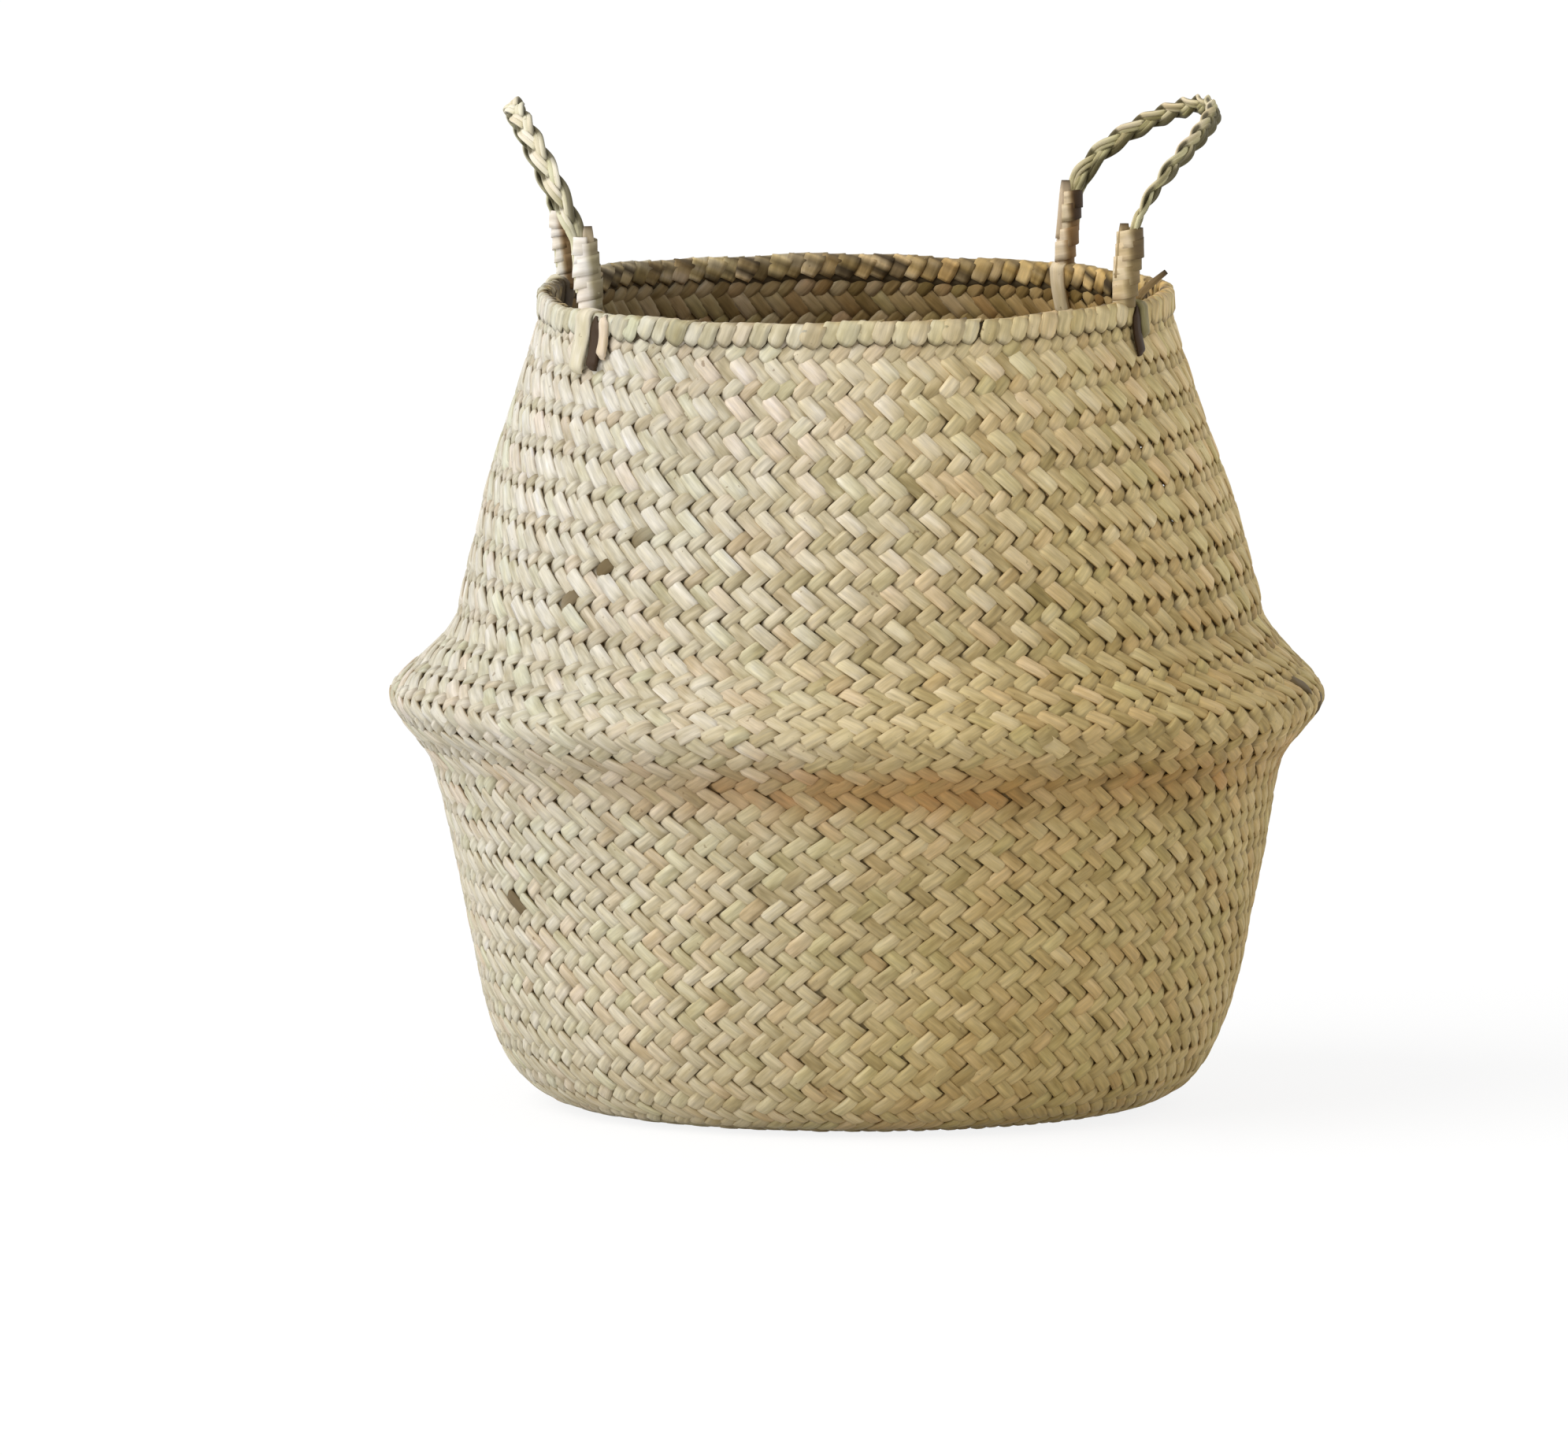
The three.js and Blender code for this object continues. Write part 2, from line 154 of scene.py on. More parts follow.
class Dye:
    """A value or colour on its way through a material. The operators on values add Math nodes."""

    def __init__(self, tree, socket=None):
        self.tree = tree
        self.socket = socket

    def node(self, kind, settings, values, out=0):
        """One node: its settings first, then what its sockets take, a Dye or a plain value."""
        made = self.tree.nodes.new("ShaderNode" + kind)
        for name, value in settings.items():
            if name == "stops":
                while len(made.color_ramp.elements) < len(value):
                    made.color_ramp.elements.new(0.5)
                for stop, (place, colour) in zip(made.color_ramp.elements, value):
                    stop.position = place
                    stop.color = colour
            else:
                setattr(made, name, value)
        for name, value in values.items():
            if isinstance(value, Dye):
                self.tree.links.new(value.socket, made.inputs[name])
            else:
                made.inputs[name].default_value = value
        return Dye(self.tree, made.outputs[out])

    def maths(self, operation, first, second):
        return self.node("Math", {"operation": operation}, {0: first, 1: second})

    def __add__(self, other):
        return self.maths("ADD", self, other)

    def __sub__(self, other):
        return self.maths("SUBTRACT", self, other)

    def __rsub__(self, other):
        return self.maths("SUBTRACT", other, self)

    def __mul__(self, other):
        return self.maths("MULTIPLY", self, other)

    __radd__ = __add__
    __rmul__ = __mul__

    def between(self, low, high):
        """0 below low, 1 above high, and eased between them."""
        values = {"Value": self, "From Min": low, "From Max": high}
        return self.node("MapRange", {"interpolation_type": "SMOOTHSTEP"}, values)

    def mixed(self, first, second, blend="MIX"):
        """The first colour, with as much of the second as this value says."""
        settings = {"data_type": "RGBA", "blend_type": blend}
        return self.node("Mix", settings, {0: self, 6: first, 7: second}, 2)


def seen(red, green, blue):
    """A colour as the eye reads it, 0 to 255, in the linear numbers that a material takes."""
    share = np.array([red, green, blue]) / 255
    linear = np.where(share <= 0.04045, share / 12.92, ((share + 0.055) / 1.055) ** 2.4)
    return (*linear.tolist(), 1.0)


green_lean = (0.90, 1.0, 0.82, 1)
pink_lean = (1.05, 0.86, 0.78, 1)
brown_stain_and_shade = (0.72, 0.53, 0.36, 1)
painted_foot_shade = (0.82, 0.80, 0.72, 1)
painted_inside_shade = (0.98, 0.83, 0.60, 1)
speck_colour = (118, 90, 56)
speck_fade = (0.70, 0.78)
side_fade = (-0.24, 0.10)
foot_fade = (0.20, 0.30)
fibre_depth = 0.0005


def dried_stem(name, palette, shadow, lit_left_tint, shaded_right_tint, veil, contrast, rough=0.68, relief=0.55):
    """Dried seagrass: the mark 'tone' picks each stretch's colour from the palette, fibres run lengthwise,
    and the whole leans from the left side's lighter, bluer colour to the right side's darker, warmer one:
    painted light on the lit left and painted shade on the right. It is also darker towards the foot, less so
    on the left: painted shade. The mark 'cast' leans it to green above 0 and to pink below, the brown mark
    to brown, a real stain in some places and painted shade in others, 'gap' to the colour of the shadows
    between stems, painted shade as deep as the veil says at the left and by how much more at the right,
    and 'inner' to the painted shade of the inside of the basket."""
    material = bpy.data.materials.new(name)
    material.use_nodes = True
    tree = material.node_tree
    shader = tree.nodes["Principled BSDF"]
    start = Dye(tree)
    tone, cast, gap, stain_and_shade, inner = (
        start.node("Attribute", {"attribute_name": mark}, {}, 2)
        for mark in ("tone", "cast", "gap", "blush", "inner")
    )
    strip = start.node("UVMap", {"uv_map": "strip"}, {})
    place = start.node("TexCoord", {}, {}, 3)
    fine = start.node("Mapping", {}, {"Vector": strip, "Scale": (0.9, 0.04, 1)})
    fibre = start.node("TexNoise", {}, {"Vector": fine, "Scale": 1, "Detail": 3, "Roughness": 0.65})
    coarse = start.node("Mapping", {}, {"Vector": strip, "Scale": (0.40, 0.06, 1)})
    streak = start.node("TexNoise", {}, {"Vector": coarse, "Scale": 1, "Detail": 2})
    spot = start.node("TexNoise", {}, {"Vector": place, "Scale": 300, "Detail": 2})
    blotch = start.node("TexNoise", {}, {"Vector": place, "Scale": 9, "Detail": 2})
    choice = tone + (streak - 0.5) * 1.0 + (blotch - 0.5) * 0.4
    colour = choice.node("ValToRGB", {"stops": [(p, seen(*c)) for p, c in palette]}, {"Fac": choice})
    across = place.node("SeparateXYZ", {}, {"Vector": place})
    upright = place.node("SeparateXYZ", {}, {"Vector": place}, 2)
    # Painted light and shade: lighter and bluer on the lit left, darker and warmer on the shaded right.
    side = (across - upright * 0.22 + (blotch - 0.5) * 0.12).between(*side_fade)
    whole = side * 0 + 1
    colour = whole.mixed(colour, side.mixed(lit_left_tint, shaded_right_tint), "MULTIPLY")
    # Painted shade: darker towards the foot, less so on the lit left.
    low = 1.0 - upright.between(*foot_fade)
    colour = (low * (0.15 + side * 0.85)).mixed(colour, painted_foot_shade, "MULTIPLY")
    colour = cast.mixed(colour, green_lean, "MULTIPLY")
    colour = (cast * -1.0).mixed(colour, pink_lean, "MULTIPLY")
    # Brown: a real stain in places, painted shade in the crease and on the bindings' shaded side.
    colour = (stain_and_shade * (0.5 + streak * 0.8)).mixed(colour, brown_stain_and_shade, "MULTIPLY")
    grain = 1 - 0.5 * contrast + fibre * contrast
    grain = grain.node("CombineColor", {}, {"Red": grain, "Green": grain, "Blue": grain})
    colour = whole.mixed(colour, grain, "MULTIPLY")
    colour = (spot.between(*speck_fade) * 0.55).mixed(colour, seen(*speck_colour))
    # Painted shade on the inside of the basket.
    colour = inner.mixed(colour, painted_inside_shade, "MULTIPLY")
    # Painted shade between the stems, deeper towards the shaded right.
    colour = (gap * (veil[0] + side * veil[1])).mixed(colour, seen(*shadow))
    tree.links.new(colour.socket, shader.inputs["Base Color"])
    roughness = rough - 0.12 + fibre * 0.22
    tree.links.new(roughness.socket, shader.inputs["Roughness"])
    height = fibre + streak * 0.6
    bump = height.node("Bump", {}, {"Strength": relief, "Distance": fibre_depth, "Height": height})
    tree.links.new(bump.socket, shader.inputs["Normal"])
    shader.inputs["Specular IOR Level"].default_value = 0.3
    return material


straw_tones = [
    (0.00, (152, 134, 88)),
    (0.25, (184, 166, 118)),
    (0.50, (206, 190, 144)),
    (0.75, (219, 204, 162)),
    (1.00, (230, 218, 184)),
]
# The side tints are painted light and painted shade; shadow is the painted shade's colour.
woven_stem = dried_stem(
    "woven_seagrass", straw_tones, shadow=(98, 80, 46), veil=(0.76, 0.19), contrast=1.1,
    lit_left_tint=(0.97, 1.08, 1.60, 1), shaded_right_tint=(1.04, 0.95, 0.80, 1),
)


def make_mat(chance):
    """Two sets of parallel lines, cut off by the round edge, that rise and fall by over_under
    at each spacing and lie flat on the edge."""
    count = 2 * int(mat_radius / mat_spacing)
    offset = (np.arange(count) - (count - 1) / 2) * mat_spacing
    reach = np.sqrt(mat_radius ** 2 - offset ** 2)
    share = np.linspace(-1, 1, 3 * count + 1)
    both = []
    for direction in (0, 1):
        along = share[None] * reach[:, None]
        place = along + mat_radius
        over = over_under(along / mat_spacing + (np.arange(count) + 2 * direction)[:, None])
        aside = offset[:, None] + 0.0004 * wander(chance, along.shape, place, 0.03)
        edge = np.clip((np.hypot(along, aside) - mat_radius + mat_edge_width) / mat_edge_width, 0, 1)
        height = weave_middle + stem_rise * over * (1 - edge) + mat_edge_height * edge
        flat = (along, aside) if direction == 0 else (aside, along)
        line = np.stack([*flat, height], -1)
        up = np.broadcast_to([0.0, 0.0, 1.0], line.shape)
        wide = np.full(along.shape, 0.47 * mat_spacing)
        thick = stem_thick * (1 + 0.1 * over)
        tone = chance.uniform(0.1, 0.95, (count, 1)) + 0.15 * wander(chance, along.shape, place, 0.04)
        # Painted shade where a stem dives under, and the inside's painted shade on the mat's upper face.
        marks = {"tone": tone, "gap": 0.6 * np.clip(-over, 0, 1), "inner": inward()[:, :, ::-1]}
        both.append((stem_skin(line, up, wide, thick), run_length(line), marks))
    return both


for way, (points, length, marks) in zip(("lengthwise", "crosswise"), make_mat(np.random.default_rng(11))):
    mat = closed_stems(f"base_mat_{way}_stems", points, length, marks)
    mat.data.materials.append(woven_stem)
    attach(mat, "basket")
    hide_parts("woven_base")


# The wall is one cloth of 224 stems. Half of them climb to the right and half to the
# left, over two and under two, which makes rows of slanting floats. The same cloth
# rounds the heel, folds out into the belly and draws in to the mouth.
wall_curves = (
    ((0.120, 0), (0.181, 0), (0.1715, 0.056), (0.199, 0.162)),
    ((0.199, 0.162), (0.20275, 0.17125), (0.218, 0.183), (0.218, 0.192)),
    ((0.218, 0.192), (0.218, 0.200), (0.197, 0.21175), (0.1880, 0.2285)),
    ((0.1880, 0.2285), (0.1747, 0.2985), (0.1490, 0.3574), (0.1486, 0.3735)),
)
stems_each_way = 112
sets_each_way = 4
rings_per_crossing = 3
side_steps = 1200
mouth_radius = 0.148
mouth_middle = -0.0018
fold_middle = 0.0012
shoulder_height = 0.2285
wall_top = 0.3735
hidden_top = 0.003
corner_ease = 0.007
steepest_pitch = 0.011
crease_height = 0.167
crease_reach = 0.013
heel_reach = 0.012
rim_shadow_bottom = 0.3695
rim_shadow_fade = 0.002
stem_pitches = ((0.10, 0.20, 0.30, 0.34, 0.3735), (0.0063, 0.0064, 0.0066, 0.0063, 0.0059))
stem_fullness = ((0.14, 0.17, 0.21, 0.24, 0.30, 0.35, 0.362), (1.08, 1.16, 1.16, 1.08, 1.08, 1.18, 1.26))
# Each stained stretch: the way its stem climbs, its angle, its height and how far it reaches.
stains = ((1, -131.8, 0.263, 0.022), (-1, -150.8, 0.105, 0.010), (-1, -10.5, 0.1965, 0.011))


def outer_side():
    """The wall's side view: four cubic curves, each the sum of its corners weighed by (1-t)^3, 3t(1-t)^2,
    3t^2(1-t) and t^3, and a short straight end that the rim hides."""
    t = np.linspace(0, 1, 200)[:, None]
    parts = []
    for a, b, c, d in np.array(wall_curves):
        curve = (1 - t) ** 3 * a + 3 * t * (1 - t) ** 2 * b + 3 * t * t * (1 - t) * c + t ** 3 * d
        parts.append(curve[:-1])
    top = np.array(wall_curves[-1][-1])
    return np.concatenate(parts + [[top, top + (0, hidden_top)]])


def even_side():
    """Length, radius, height and outward slope at even steps along the middle of the cloth. The slope is
    averaged over corner_ease, so that the folds' corners are round."""
    side = outer_side()
    length = np.concatenate([[0], np.cumsum(np.linalg.norm(np.diff(side, axis=0), axis=1))])
    even = np.linspace(0, length[-1], side_steps)
    radius, height = np.interp(even, length, side[:, 0]), np.interp(even, length, side[:, 1])
    step = even[1]
    window = np.hanning(2 * int(corner_ease / step) + 1)
    window /= window.sum()
    slope = np.stack([np.gradient(height), -np.gradient(radius)], -1) / step
    pad = len(window) // 2
    slope = np.stack([np.convolve(np.pad(slope[:, k], pad, "edge"), window, "valid") for k in (0, 1)], -1)
    slope = unit(slope)
    return even, radius - weave_middle * slope[:, 0], height - weave_middle * slope[:, 1], slope


side_length, side_radius, side_height, side_slope = even_side()
pitch_round = 2 * np.pi * side_radius / stems_each_way
stem_pitch = np.interp(side_height, *stem_pitches)
pitch_up = 1 / np.sqrt(np.maximum(1 / stem_pitch ** 2 - 1 / pitch_round ** 2, 1 / steepest_pitch ** 2))
rows_climbed = np.cumsum(np.diff(side_length) / (0.5 * (pitch_up[1:] + pitch_up[:-1])))
side_rows = 2 * np.concatenate([[0], rows_climbed])
rows = side_rows[-1]


def mouth_lift(turn):
    """How far the hand-woven mouth stands above or below level: a cosine and a sine of the turn
    and their product."""
    return 0.00065 * np.cos(turn) - 0.00175 * np.sin(turn) * np.cos(turn) + 0.0012 * np.sin(turn)


def mouth_corners(turn):
    """How the round mouth is pulled square at its left half: a cosine of four times the turn,
    fading out to the right."""
    return -0.018 * np.cos(4 * turn) * np.clip(0.35 - np.cos(turn), 0, 1)


def wall_place(turn, up, out):
    """A point of the cloth and the way that it faces: radius and height read from the side view at the
    length up, moved out along its slope and turned round the middle. Slow sines make the rows and the round
    a little uneven, and the middle lies to the right at the fold and to the left at the mouth."""
    inside = np.sin(np.pi * np.clip(up / side_length[-1], 0, 1)) ** 0.6
    waves = 0.0016 * np.sin(2 * turn + 0.7) + 0.0011 * np.sin(5 * turn + 2.1)
    up = up + inside * (waves + 0.0007 * np.sin(9 * turn + up * 30))
    dent = 0.0010 * np.sin(3 * turn + up * 24) + 0.0007 * np.sin(7 * turn - up * 41 + 1.0)
    dent = dent + 0.0004 * np.sin(16 * turn + up * 95)
    radius = np.interp(up, side_length, side_radius)
    height = np.interp(up, side_length, side_height)
    slope_out = np.interp(up, side_length, side_slope[:, 0])
    slope_up = np.interp(up, side_length, side_slope[:, 1])
    share = np.clip((height - shoulder_height) / (wall_top - shoulder_height), 0, 1)
    radius = radius * (1 + mouth_corners(turn) * share ** 2) + out * slope_out + dent * inside
    height = height + out * slope_up
    aside = np.interp(height, (0, 0.15, 0.20, wall_top), (0.0, fold_middle, fold_middle, mouth_middle))
    x, y = aside + radius * np.cos(turn), radius * np.sin(turn)
    z = height + mouth_lift(turn) * share
    normal = np.stack([slope_out * np.cos(turn), slope_out * np.sin(turn), slope_up], -1)
    return np.stack([x, y, z], -1), normal


def make_wall_stems(lean, first, count, chance):
    """Stems first to first + count, which climb to the right with lean 1 and to the left with lean -1.
    A stem turns round the basket by one stem's pitch for every two rows that it climbs, and over_under lifts
    it in every row. It carries painted shade where it dives under the others, under the rim, over the whole
    inside and, on the stems that climb to the right, in the dips at the sides. In the crease it is browned
    by painted shade with some real stain, and a few stretches carry real dark stains."""
    number = first + np.arange(count)[:, None]
    row = np.linspace(0, rows, int(rows * rings_per_crossing) + 1)[None] * np.ones((count, 1))
    up = np.interp(row, side_rows, side_length)

    def waver(knot):
        return wander(chance, row.shape, up, knot)

    stray = 0.10 * waver(0.05) + 0.05 * waver(0.02)
    turn = (number + lean * row / 2 + stray) * 2 * np.pi / stems_each_way - np.pi / 2
    level = np.interp(up, side_length, side_height)
    upper = np.interp(level, (0.15, 0.24), (0.25, 1.0))
    sideways = np.abs(np.cos(turn)) ** 1.5
    short_floats = np.interp(level, (0.12, 0.17, 0.23), (-0.20, 0.0, 0.28)) + 0.70 * sideways
    over = lean * over_under(row, short_floats)
    raised = (1.0 if lean < 0 else 0.6) * upper * np.where(number % 2 == 0, -1.0, 1.0)
    full = np.interp(level, *stem_fullness) + 0.06 * lean * (1 - upper) + 0.08 * raised
    full = full + chance.uniform(-0.06, 0.06, (count, 1)) + 0.06 * waver(0.02)
    heel = np.clip(up / heel_reach, 0, 1)
    out = stem_rise * over * heel + (0.0004 * raised + 0.0002 * waver(0.013)) * np.clip(over, 0, 1)
    line, normal = wall_place(turn, up, out)
    pitch = np.interp(up, side_length, 1 / np.sqrt(1 / pitch_round ** 2 + 1 / pitch_up ** 2))
    wide = 0.5 * pitch * full * (1.0 + 0.03 * over)
    thick = stem_thick * (1 + 0.12 * over)

    calm = 1 - 0.65 * np.clip(-np.cos(turn), 0, 1)
    tone = chance.normal(0, 0.06, (count, 1)) + 0.16 * waver(0.014) + 0.10 * waver(0.09)
    # Painted light: raised stems are lighter, and the floats of one way lighter than the other's.
    tone = 0.50 + calm * (tone + 0.14 * raised) + lean * (0.04 - 0.09 * upper) * np.clip(over, 0, 1)
    cast = chance.normal(0, 0.10, (count, 1)) + 0.55 * waver(0.024)
    cast = np.sign(cast) * np.clip(np.abs(cast) - 0.16, 0, 0.4)
    height = line[..., 2]
    # Painted shade in the crease under the belly, strongest at the middle and right, with some real brown
    # stain.
    crease_shade_and_stain = np.exp(-((height - crease_height) / crease_reach) ** 2)
    crease_shade_and_stain = crease_shade_and_stain * np.interp(np.cos(turn), (-1, -0.4, 0, 1), (0.0, 0.7, 1.15, 0.6))
    crease_shade_and_stain = crease_shade_and_stain * (0.95 + 0.4 * waver(0.02))
    # Painted shadow under the rim.
    shadow_under_rim = np.clip((height - rim_shadow_bottom) / rim_shadow_fade, 0, 1)
    # Painted shade where the stem dives under the others.
    dark = np.maximum(np.clip(0.35 - over, 0, 1) / 1.35, shadow_under_rim)
    # Painted shade on stems that climb to the right, where they dip under at the sides.
    dark = np.maximum(dark, (1.3 if lean > 0 else 0.0) * sideways * np.clip(0.95 - over, 0, 0.7))
    for way, degrees, stained_height, reach in stains:
        home = (math.radians(degrees) + np.pi / 2) * stems_each_way / (2 * np.pi)
        home = round(home - way * np.interp(stained_height, side_height, side_rows) / 2) % stems_each_way
        stained = (number == home) & (way == lean)
        stained = stained * np.exp(-((height - stained_height) / reach) ** 4)
        dark = np.maximum(dark, 1.2 * stained)
        crease_shade_and_stain = np.maximum(crease_shade_and_stain, 0.3 * stained)
    inside = inward()
    tone = 0.5 + (tone[..., None] - 0.5) * (1 + 1.3 * inside)
    # Painted shade over the whole inside, deepest where a float lies hidden behind the others and under the
    # rim.
    inside_shadow = np.maximum(0.70 + 0.24 * over, shadow_under_rim)
    marks = {
        "tone": np.clip(tone, 0, 1),
        "cast": cast[..., None] * (1 + inside),
        "gap": dark[..., None] * (1 - inside) + inside_shadow[..., None] * inside,
        "blush": np.clip(crease_shade_and_stain, 0, 1),
        "inner": inside,
    }
    return stem_skin(line, normal, wide, thick), run_length(line), marks


wall_nodes = ("woven_heel", "heel_bend", "lower_wall", "fold_underside", "fold_topside", "upper_wall")
stem_chance = np.random.default_rng(4)
for lean, way in ((1, "right"), (-1, "left")):
    for part in range(sets_each_way):
        count = stems_each_way // sets_each_way
        points, length, marks = make_wall_stems(lean, part * count, count, stem_chance)
        stems = closed_stems(f"{way}_climbing_stems_{part + 1}", points, length, marks)
        stems.data.materials.append(woven_stem)
        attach(stems, "basket")
        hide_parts(*wall_nodes)


# The stems' upper ends are turned down over a core of loose stems, slanting to the right,
# side by side, and their ends go back into the weave.
rim_middle = 0.14575
rim_radius = rim_middle + 0.0006
rim_top = 0.3813
rim_half_depth = 0.0034
core_height = 0.3738
core_half_width = 0.0020
core_half_thick = 0.0060
stitches = 112
stitch_lean = 1.25
stitch_bottom = 0.3700
stitch_half_width = 0.0049
stitch_half_thick = 0.0006


def rim_place(turn, out, height):
    """A point of the rim: a circle squared like the wall's mouth and moved to the left with it,
    as high as the mouth's lift says."""
    radius = rim_radius * (1 + mouth_corners(turn)) + out
    x, y = mouth_middle + radius * np.cos(turn), radius * np.sin(turn)
    uneven = 0.0005 * np.sin(8 * turn + 1) + 0.0004 * np.sin(19 * turn)
    return np.stack([x, y, height + uneven + mouth_lift(turn)], -1)


def make_stitches(chance):
    """Short stems over the rim: up the outside, half a circle over the core and down the inside, while the
    turn goes on by stitch_lean of their pitch. They differ in width, in how far they stand out and in where
    they start. Their lower ends carry painted shade where they come out of the weave, and their inner halves
    carry blotchy painted shade, deepest over the far rim's top and at the left end."""
    share = np.linspace(0, 1, 19)[None] * np.ones((stitches, 1))
    number = np.arange(stitches)[:, None]
    stations = (0, 0.08, 0.34, 0.42, 0.50, 0.58, 0.66, 1)
    out = 0.001 * np.interp(share, stations, (1.6, 3.4, 2.9, 2.1, 0, -2.1, -3.0, -2.6))
    rise = np.interp(share, stations, (0, 0.0012, 0.0088, 0.0105, 0.0108, 0.0104, 0.0090, 0.0010))
    loose = chance.uniform(-0.10, 0.10, (stitches, 1))
    turn = (number + loose + stitch_lean * (share - 0.5)) * 2 * np.pi / stitches
    proud = 1 + chance.uniform(-0.05, 0.05, (stitches, 1)) + 0.05 * np.where(number % 2 == 0, 1, -1)
    end = chance.uniform(-0.0012, 0.0012, (stitches, 1)) * np.clip(1 - share / 0.3, 0, 1)
    line = rim_place(turn, out * proud, stitch_bottom + end + rise * (0.98 + 0.02 * proud))
    lift = np.interp(share, (0, 0.34, 0.66, 1), (-0.1, 0.15, np.pi - 0.1, np.pi))
    normal = np.stack([np.cos(lift) * np.cos(turn), np.cos(lift) * np.sin(turn), np.sin(lift)], -1)
    wide = stitch_half_width * (1 + chance.uniform(-0.17, 0.17, (stitches, 1)))
    wide = wide * np.interp(share, (0, 0.15, 0.8, 1), (0.35, 1, 1, 0.7))
    bend = np.exp(-((share - 0.43) / 0.05) ** 2) * np.clip(2 * np.cos(turn) + 0.3, 0, 1)
    wide = wide * (1 - 0.25 * bend)
    chip = np.clip(share * 6 - 2.4, 0, 1)
    tone = chance.normal(0.55, 0.10, (stitches, 1)) + 0.14 * wander(chance, share.shape, share, 0.3)
    tone = tone + 0.55 * chip * wander(chance, share.shape, share, 0.11)
    # Painted shade on the inner halves, in blotches, deepest over the far rim's top and at the left end.
    far_top = np.clip(2 * np.sin(turn), 0, 1) * np.interp(share, (0.36, 0.42, 0.53, 0.60), (0, 1, 1, 0))
    left_end = np.clip(-np.cos(turn) - 0.7, 0, 0.3)
    inside_rim_shade = 0.44 + 0.6 * wander(chance, share.shape, share, 0.12) + 0.55 * far_top + left_end
    inside_rim_shade = np.maximum(chip * np.clip(inside_rim_shade, 0, 1), 0.35 * bend)
    marks = {
        "tone": np.clip(tone, 0, 1),
        "cast": 0.10 + 0.15 * chance.normal(0, 1, (stitches, 1)) + 0 * share,
        # Painted shade at the lower ends, where they come out of the weave.
        "gap": np.maximum(inside_rim_shade, np.clip(1 - share / 0.12, 0, 1)),
        "inner": chip,
    }
    thick = np.full(share.shape, stitch_half_thick)
    return stem_skin(line, normal, wide, thick, crown=0.6), run_length(line), marks


def make_core():
    """One round of loose stems inside the rim, its two ends against each other, coloured nearly as dark as
    the shadow colour: painted shade for the gaps between the turned-over ends.
    """
    turn = np.linspace(0, 2 * np.pi, 241)[None]
    line = rim_place(turn, 0.0, core_height)
    up = np.broadcast_to([0.0, 0.0, 1.0], line.shape)
    marks = {"tone": 0.15 + 0 * turn, "gap": 0.9 + 0 * turn}
    skin = stem_skin(line, up, core_half_width + 0 * turn, core_half_thick + 0 * turn)
    return skin, run_length(line), marks


# The side tints are painted light and painted shade; shadow is the painted shade's colour.
rim_stem = dried_stem(
    "rim_seagrass", straw_tones, shadow=(62, 49, 30), veil=(0.95, 0.05), contrast=1.1,
    lit_left_tint=(0.94, 1.05, 1.50, 1), shaded_right_tint=(1.03, 0.94, 0.79, 1),
)
for name, (points, length, marks) in (
    ("rim_turned_over_ends", make_stitches(np.random.default_rng(23))),
    ("rim_core", make_core()),
):
    rim = closed_stems(name, points, length, marks)
    rim.data.materials.append(rim_stem)
    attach(rim, "basket")
    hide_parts("rim_border")


# Each handle stands on two straps of leaf, which come out of the weave below the rim, pass
# over it and go back in. Beside each near strap the weave is spread apart; the shadow in the
# slit is painted shade on a dark leaf laid there, at the left with a narrow pale leaf next to it.
feet = {
    "left": {"far": 159.0, "near": 210.0},
    "right": {"near": -31.0, "far": 47.5},
}
strap_half_thick = 0.0013
far_strap = {"aside": 0.0, "bottom": 0.3545, "half_width": 0.0046, "proud": 0.0016, "tone": 0.55}
# The leaves for the shadow in the slits are painted shade, and 'inside' is painted shade on a strip's inner
# half.
strips_at_feet = {
    ("left", "far"): {"strap": far_strap | {"inside": 0.9}},
    ("left", "near"): {
        "strap": {
            "aside": 0.0130, "bottom": 0.3520, "half_width": 0.0056, "proud": 0.0016, "tone": 0.62,
            "inside": 0.5, "cast": -0.1,
        },
        "slit_shadow_leaf": {
            "aside": 0.0220, "bottom": 0.3545, "half_width": 0.0038, "proud": 0.0004, "tone": 0.5,
            "reach": 0.43, "dark": 1.4, "inside": 1.4,
        },
        "pale_leaf": {
            "aside": 0.0275, "bottom": 0.3600, "half_width": 0.0028, "proud": 0.0008, "tone": 0.5,
            "reach": 0.47, "cast": -0.6,
        },
    },
    ("right", "near"): {
        "strap": {
            "aside": 0.0105, "bottom": 0.3640, "half_width": 0.0036, "proud": 0.0012, "tone": 0.0,
            "dark": 0.45, "inside": 0.6, "cast": 1.3,
        },
        "slit_shadow_leaf": {
            "aside": 0.0052, "bottom": 0.3560, "half_width": 0.0031, "proud": 0.0003, "tone": 0.5,
            "reach": 0.43, "dark": 1.4, "inside": 1.4,
        },
    },
    ("right", "far"): {"strap": far_strap},
}
pale_tones = [
    (0.0, (176, 160, 120)),
    (0.35, (208, 194, 156)),
    (0.65, (228, 216, 188)),
    (1.0, (240, 231, 212)),
]
# The side tints are painted light and painted shade; shadow is the painted shade's colour.
pale_leaf = dried_stem(
    "pale_leaf", pale_tones, shadow=(56, 37, 14), veil=(1, 0), contrast=0.6, rough=0.6, relief=0.4,
    lit_left_tint=(0.98, 1.03, 1.16, 1), shaded_right_tint=(0.93, 0.86, 0.74, 1),
)


